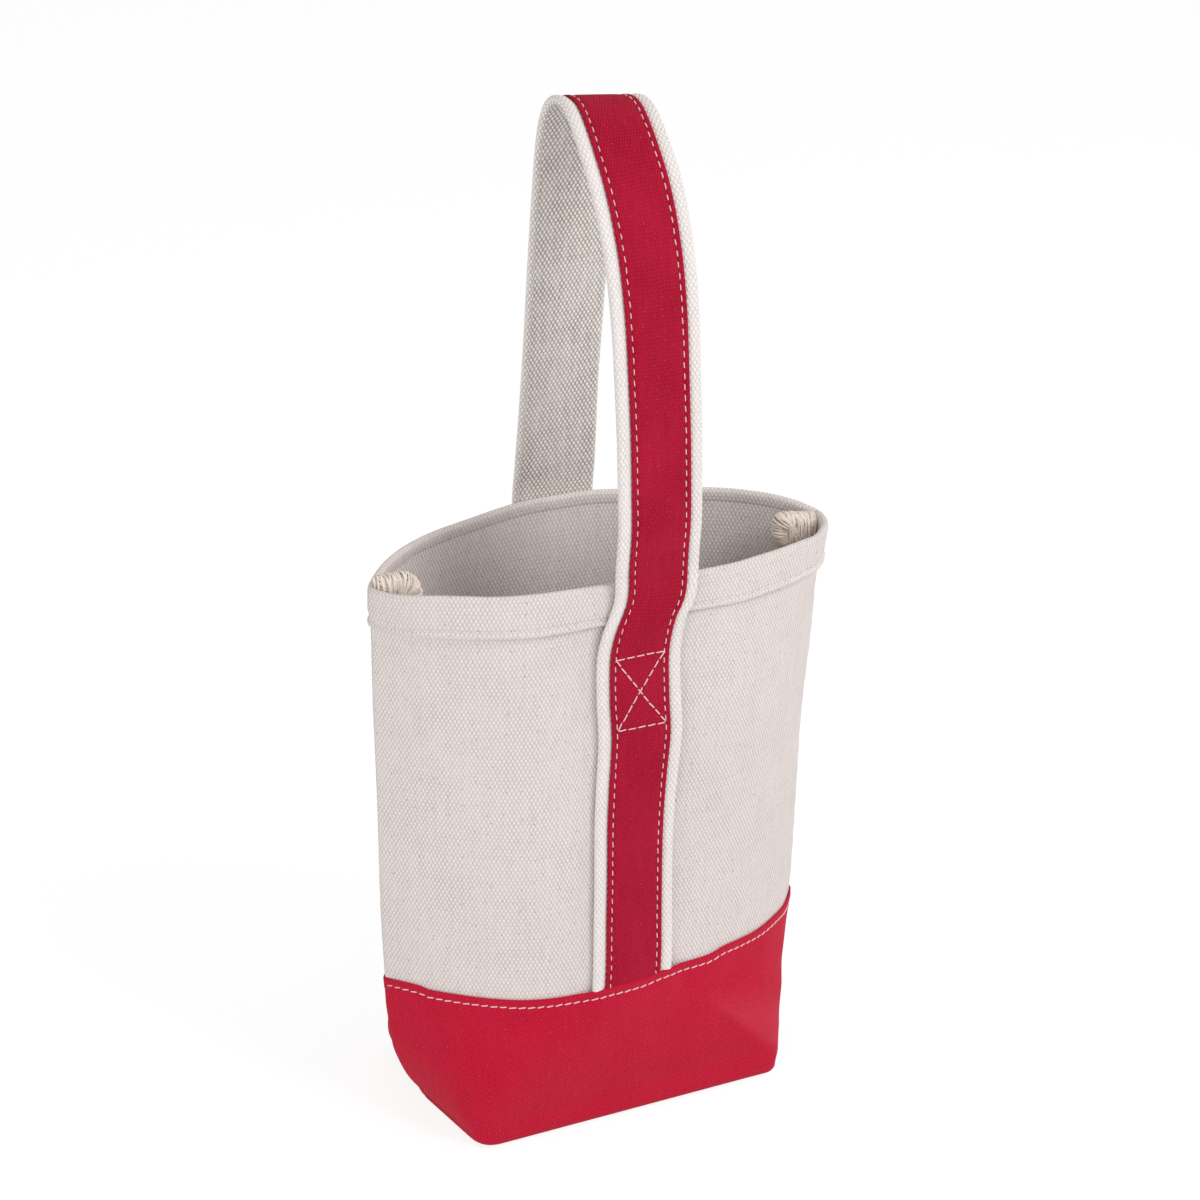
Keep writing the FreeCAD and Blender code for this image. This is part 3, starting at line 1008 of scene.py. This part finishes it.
def canvasMaterial(name, look):
    # plain-woven cotton: rounded crowns of yarn in staggered rows with darker gaps between them
    material, tree = newMaterial(name)
    cut = addNode(tree, "ShaderNodeTexCoord").outputs["UV"]
    wobble = addNode(tree, noiseNode, {"Scale": 1 / (look["wobbleWide"] * mm), "Detail": 2.0},
                     {"Vector": cut})
    moved = addNode(tree, "ShaderNodeVectorMath",
                    {"operation": "MULTIPLY_ADD", 1: (look["wobble"] * mm,) * 3},
                    {0: wobble.outputs["Color"], 2: cut}).outputs[0]
    parts = addNode(tree, "ShaderNodeSeparateXYZ", None, {0: moved})
    waves = []
    for axis, pitch in (("X", look["across"]), ("Y", look["up"])):
        angle = addNode(tree, mathNode, {"operation": "MULTIPLY", 1: math.pi / (pitch * mm)},
                        {0: parts.outputs[axis]})
        waves.append(addNode(tree, mathNode, {"operation": "SINE"}, {0: angle.outputs[0]}).outputs[0])
    weave = addNode(tree, mathNode, {"operation": "MULTIPLY"}, {0: waves[0], 1: waves[1]})
    lumps = addNode(tree, "ShaderNodeMapRange",
                    {"interpolation_type": "SMOOTHSTEP", "From Min": -0.75, "From Max": 0.8},
                    {"Value": weave.outputs[0]}).outputs[0]
    row = addNode(tree, mathNode, {"operation": "MULTIPLY"}, {0: waves[1], 1: waves[1]})
    ribs = addNode(tree, mathNode, {"operation": "MULTIPLY_ADD", 1: look["ribs"], 2: -look["ribs"] / 2},
                   {0: row.outputs[0]})
    crown = addNode(tree, mathNode, {"operation": "ADD"}, {0: lumps, 1: ribs.outputs[0]}).outputs[0]
    slubs = []
    for scale in ((1 / look["across"], 1 / look["slub"], 1), (1 / look["slub"], 1 / look["up"], 1)):
        stretched = addNode(tree, "ShaderNodeVectorMath",
                            {"operation": "MULTIPLY", 1: tuple(k / mm * 0.7 for k in scale)}, {0: moved})
        grain = addNode(tree, noiseNode, {"Scale": 1.0, "Detail": 1.0}, {"Vector": stretched.outputs[0]})
        slubs.append(grain.outputs[0])
    warp = addNode(tree, mathNode, {"operation": "MULTIPLY", 1: 2 - look["cross"]}, {0: slubs[0]})
    slub = addNode(tree, mathNode, {"operation": "MULTIPLY_ADD", 1: look["cross"]},
                   {0: slubs[1], 2: warp.outputs[0]})
    fibre = addNode(tree, noiseNode, {"Scale": 1 / (look["fibre"] * mm), "Detail": 3.0}, {"Vector": moved})
    uneven = addNode(tree, mathNode,
                     {"operation": "MULTIPLY_ADD", 1: look["uneven"], 2: -look["uneven"]},
                     {0: slub.outputs[0]})
    fine = addNode(tree, mathNode, {"operation": "MULTIPLY_ADD", 1: look["fuzz"], 2: -look["fuzz"] / 2},
                   {0: fibre.outputs[0]})
    both = addNode(tree, mathNode, {"operation": "ADD"},
                   {0: uneven.outputs[0], 1: fine.outputs[0]}).outputs[0]
    tone = addNode(tree, mathNode, {"operation": "ADD", "use_clamp": True}, {0: crown, 1: both})
    yarn = addNode(tree, mixNode,
                   {"data_type": "RGBA", 6: hexColour(look["gap"]), 7: hexColour(look["crown"])},
                   {0: tone.outputs[0]})
    if "pale" in look:  # the outer face and the folded edges, where light fills the gaps
        flat = addNode(tree, "ShaderNodeSeparateXYZ", None, {0: cut}).outputs["X"]
        shares = []
        for first, last in look["paleFrom"]:
            reach = {"From Min": first * mm, "From Max": last * mm}
            shares.append(addNode(tree, "ShaderNodeMapRange", reach, {"Value": flat}).outputs[0])
        share = addNode(tree, mathNode, {"operation": "MULTIPLY"}, {0: shares[0], 1: shares[1]})
        gap = addNode(tree, mixNode,
                      {"data_type": "RGBA", 6: hexColour(look["gap"]), 7: hexColour(look["pale"])},
                      {0: share.outputs[0]})
        tree.links.new(gap.outputs[2], yarn.inputs[6])
    cloud = addNode(tree, noiseNode, {"Scale": 1 / (look["cloudWide"] * mm), "Detail": 3.0},
                    {"Vector": cut})
    cloudy = addNode(tree, "ShaderNodeMapRange",
                     {"From Min": 0.35, "From Max": 0.7, "To Min": 0.0, "To Max": look["cloud"]},
                     {"Value": cloud.outputs[0]})
    worn = addNode(tree, mixNode, {"data_type": "RGBA", 7: hexColour(look["faded"])},
                   {0: cloudy.outputs[0], 6: yarn.outputs[2]})
    speck = addNode(tree, "ShaderNodeTexVoronoi",
                    {"voronoi_dimensions": "2D", "Scale": 1 / (look["fleckGap"] * mm)}, {"Vector": cut})
    near = addNode(tree, mathNode, {"operation": "LESS_THAN", 1: look["fleckSize"] / look["fleckGap"]},
                   {0: speck.outputs["Distance"]})
    pick = addNode(tree, "ShaderNodeSeparateXYZ", None, {0: speck.outputs["Color"]})
    some = addNode(tree, mathNode, {"operation": "MULTIPLY", 1: look["fleckShow"]}, {0: pick.outputs["X"]})
    fleck = addNode(tree, mathNode, {"operation": "MULTIPLY"}, {0: near.outputs[0], 1: some.outputs[0]})
    colour = addNode(tree, mixNode, {"data_type": "RGBA", 7: hexColour(look["fleck"])},
                     {0: fleck.outputs[0], 6: worn.outputs[2]})
    if "crease" in look:  # painted highlight: paler beyond the crease across a lower corner of the front, where the turned facet faces up and right towards the lamps
        colour = addNode(tree, mixNode, {"data_type": "RGBA", 7: hexColour(look["paleCrease"])},
                         {0: paintedCreaseLightMask(tree, look["crease"]), 6: colour.outputs[2]})
    height = addNode(tree, mathNode, {"operation": "ADD"}, {0: crown, 1: both})
    bump = addNode(tree, "ShaderNodeBump", {"Strength": look["bump"], "Distance": look["relief"] * mm},
                   {"Height": height.outputs[0]})
    skin = addNode(tree, "ShaderNodeBsdfPrincipled",
                   {"Roughness": 0.92, "Specular IOR Level": look["shine"], "IOR": 1.47,
                    "Sheen Weight": look["sheen"], "Sheen Roughness": 0.55},
                   {"Base Color": colour.outputs[2], "Normal": bump.outputs[0]})
    addNode(tree, "ShaderNodeOutputMaterial", None, {"Surface": skin.outputs[0]})
    return material


waveRepeat = 0.31  # Blender's bands repeat about this often at scale 1


def threadMaterial(name, look):
    # spun cotton thread: soft, matt, uneven along its twist
    material, tree = newMaterial(name)
    where = addNode(tree, "ShaderNodeTexCoord").outputs["Object"]
    ply = addNode(tree, "ShaderNodeTexWave",
                  {"wave_type": "BANDS", "bands_direction": "DIAGONAL", "Distortion": 2.0, "Detail": 2.0,
                   "Scale": waveRepeat / (look["ply"] * mm)}, {"Vector": where})
    fuzz = addNode(tree, noiseNode, {"Scale": 1 / (1.2 * mm), "Detail": 3.0}, {"Vector": where})
    tone = addNode(tree, mathNode, {"operation": "MULTIPLY"}, {0: ply.outputs["Color"], 1: fuzz.outputs[0]})
    colour = addNode(tree, mixNode,
                     {"data_type": "RGBA", 6: hexColour(look["light"]), 7: hexColour(look["dark"])},
                     {0: tone.outputs[0]})
    bump = addNode(tree, "ShaderNodeBump", {"Strength": 0.4, "Distance": 0.12 * mm},
                   {"Height": ply.outputs["Color"]})
    skin = addNode(tree, "ShaderNodeBsdfPrincipled",
                   {"Roughness": 0.85, "Specular IOR Level": 0.2, "IOR": 1.5, "Sheen Weight": 0.1},
                   {"Base Color": colour.outputs[2], "Normal": bump.outputs[0]})
    addNode(tree, "ShaderNodeOutputMaterial", None, {"Surface": skin.outputs[0]})
    return material


naturalLook = {  # unbleached cotton duck: thick yarns, seed flecks
    "crown": "#ECE4E1", "gap": "#C9BEBA", "across": 0.8, "up": 1.5, "ribs": 0.25,
    "wobble": 0.7, "wobbleWide": 1000 / 85, "slub": 9.0, "uneven": 0.4, "cross": 0.75,
    "fuzz": 0.35, "fibre": 0.35,
    "faded": "#E6DEDA", "cloud": 0.25, "cloudWide": 26.0,
    "fleck": "#8C7B6B", "fleckGap": 5.5, "fleckSize": 0.3, "fleckShow": 0.7,
    "bump": 0.55, "relief": 0.32, "sheen": 0.06, "shine": 0.12,
}
webLook = dict(naturalLook, crown="#F8F2EF", faded="#EEE8E5", gap="#9C8F88", across=0.92, up=1.4,
               fleckShow=0.3, bump=0.75, pale="#DBD2CE", paleFrom=((31, 34), (75, 72)))
redLook = dict(naturalLook, crown="#D01A3B", gap="#A60B2A", faded="#CB2A48", cloud=0.2,
               across=0.52, up=1.18, ribs=0.2, wobble=0.6, uneven=0.35, cross=0.5, fuzz=0.9,  # finer yarns
               fleck="#DC6A7E", fleckGap=4.0, fleckSize=0.2, fleckShow=0.4,
               bump=0.4, relief=0.22, shine=0.1)
# painted highlight: the red base turns a paler pink beyond the front corner crease
baseLook = dict(redLook, crease=0.09, paleCrease="#F07888")
stripeLook = dict(redLook, crown="#B91434", gap="#8C0E28", across=0.56, up=1.4, ribs=0.4, uneven=0.55,
                  cross=0.3, bump=0.6, sheen=0.02)
naturalCanvas = canvasMaterial("naturalCanvas", naturalLook)
webCanvas = canvasMaterial("webCanvas", webLook)
redCanvas = canvasMaterial("redCanvas", baseLook)
stripeCanvas = canvasMaterial("stripeCanvas", stripeLook)
sewingThread = threadMaterial("sewingThread", {"light": "#F0D0D3", "dark": "#D2A1A7", "ply": 0.45})
hemThread = threadMaterial("hemThread", {"light": "#EDE5E1", "dark": "#D6CBC5", "ply": 0.45})
overlockThread = threadMaterial("overlockThread", {"light": "#FAEFE6", "dark": "#E2D0C2", "ply": 0.5})
# painted shade: the seam allowances and the heads under the loops take a darker, browner copy of the
# overlock thread's colour, standing for the shade between and under the loops
shadedOverlockCore = threadMaterial("shadedOverlockCore", {"light": "#D9C8B9", "dark": "#B39E8D", "ply": 0.6})
print("materials mixed")


# What each piece is made of and what it stands for; the bag's pieces are attached to the bag's body
def dress(piece, material):
    piece.data.materials.clear()
    piece.data.materials.append(material)
    return piece


for name in ("front", "back"):
    for group, material, slot, node in ((panels, naturalCanvas, "canvas", "_panel"),
                                        (hems, naturalCanvas, "canvas", "_hem"),
                                        (bases, redCanvas, "red_canvas", "_base")):
        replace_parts(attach(dress(group[name], material), "bag"), name + node)
    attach(dress(sewn[name + "Base"], sewingThread), "bag")
    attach(dress(sewn[name + "Hem"], hemThread), "bag")
for name in ("left", "right"):
    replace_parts(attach(dress(seams[name], shadedOverlockCore), "bag"), name + "_seam")
    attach(dress(overlocks[name], overlockThread), "bag")
for piece, material, slot, layer in ((strapWeb, webCanvas, "strap_canvas", "web"),
                                     (strapStripe, stripeCanvas, "strap_stripe", "stripe")):
    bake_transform(dress(piece, material))
    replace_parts(piece, "front_strap_" + layer, "front_root_" + layer, "handle_" + layer,
                "back_root_" + layer, "back_strap_" + layer)
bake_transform(dress(strapThread, sewingThread))

for side, name in sides:
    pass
print("pieces dressed")

# Floor, light and camera
bpy.ops.object.select_all(action="DESELECT")
bpy.ops.mesh.primitive_plane_add(size=8)
floor = bpy.context.object
floor.name = "floor"


def seenDirectly(tree):  # 1 for rays from the camera and for mirror and glass rays, else 0
    path = addNode(tree, "ShaderNodeLightPath")
    first = addNode(tree, mathNode, {"operation": "ADD"},
                    {0: path.outputs["Is Camera Ray"], 1: path.outputs["Is Glossy Ray"]})
    return addNode(tree, mathNode, {"operation": "ADD", "use_clamp": True},
                   {0: first.outputs[0], 1: path.outputs["Is Transmission Ray"]}).outputs[0]


studio = {"world": 0.55, "paper": 0.9, "floorWhite": 0.76, "floorGlow": 1.12}
lamps = {  # metres and watts
    "keyLamp": {"spot": (0.55, -1.0, 1.3), "aim": (0, 0, 0.14), "size": 0.6, "power": 9.3},
    "fillLamp": {"spot": (-1.3, -0.7, 0.4), "aim": (0, 0, 0.12), "size": 1.0, "power": 7.3},
    "sideLamp": {"spot": (1.4, -0.35, 0.75), "aim": (0, 0, 0.12), "size": 0.8, "power": 4.5},
}
paper, tree = newMaterial("paper")
seen = seenDirectly(tree)
share = addNode(tree, mathNode, {"operation": "MULTIPLY", 1: studio["floorWhite"]}, {0: seen})
matt = addNode(tree, "ShaderNodeBsdfDiffuse", {"Color": (studio["paper"],) * 3 + (1,)})
glow = addNode(tree, "ShaderNodeEmission", {"Color": (1, 1, 1, 1), "Strength": studio["floorGlow"]})
mixed = addNode(tree, "ShaderNodeMixShader", None,
                {0: share.outputs[0], 1: matt.outputs[0], 2: glow.outputs[0]})
addNode(tree, "ShaderNodeOutputMaterial", None, {"Surface": mixed.outputs[0]})
floor.data.materials.append(paper)

world = bpy.data.worlds.new("studio")
bpy.context.scene.world = world
world.use_nodes = True
tree = world.node_tree
tree.nodes.clear()
level = addNode(tree, "ShaderNodeMapRange", {"To Min": studio["world"], "To Max": 1.0},
                {"Value": seenDirectly(tree)})
sky = addNode(tree, "ShaderNodeBackground", {"Color": (1, 1, 1, 1)}, {"Strength": level.outputs[0]})
addNode(tree, "ShaderNodeOutputWorld", None, {"Surface": sky.outputs[0]})


def softLamp(name, spot, aim, size, power):
    bpy.ops.object.light_add(type="AREA", location=spot)
    lamp = bpy.context.object
    lamp.name = name
    lamp.data.size = size
    lamp.data.energy = power
    lamp.rotation_euler = (Vector(aim) - Vector(spot)).to_track_quat("-Z", "Y").to_euler()


for name, lamp in lamps.items():
    softLamp(name, **lamp)

camera = {
    "azimuth": 28.497, "elevation": 24.318, "roll": 1.832,
    "distance": 1247.8, "aim": (-0.03, 0, 205.0), "lens": 98.1, "sensor": 36,
}
turn, climb, roll = (math.radians(camera[k]) for k in ("azimuth", "elevation", "roll"))
forward = Vector((math.sin(turn) * math.cos(climb), math.cos(turn) * math.cos(climb), -math.sin(climb)))
right = forward.cross(Vector((0, 0, 1))).normalized()
up = right.cross(forward)
rightRolled = right * math.cos(roll) + up * math.sin(roll)
upRolled = up * math.cos(roll) - right * math.sin(roll)
bpy.ops.object.camera_add()
lens = bpy.context.object
lens.data.lens = camera["lens"]
lens.data.sensor_width = camera["sensor"]
lens.data.clip_start, lens.data.clip_end = 0.01, 50
place = (Vector(camera["aim"]) - forward * camera["distance"]) * mm
turned = Matrix((rightRolled, upRolled, -forward)).transposed().to_4x4()
lens.matrix_world = Matrix.Translation(place) @ turned
bpy.context.scene.camera = lens
bpy.context.scene.view_settings.view_transform = "Standard"
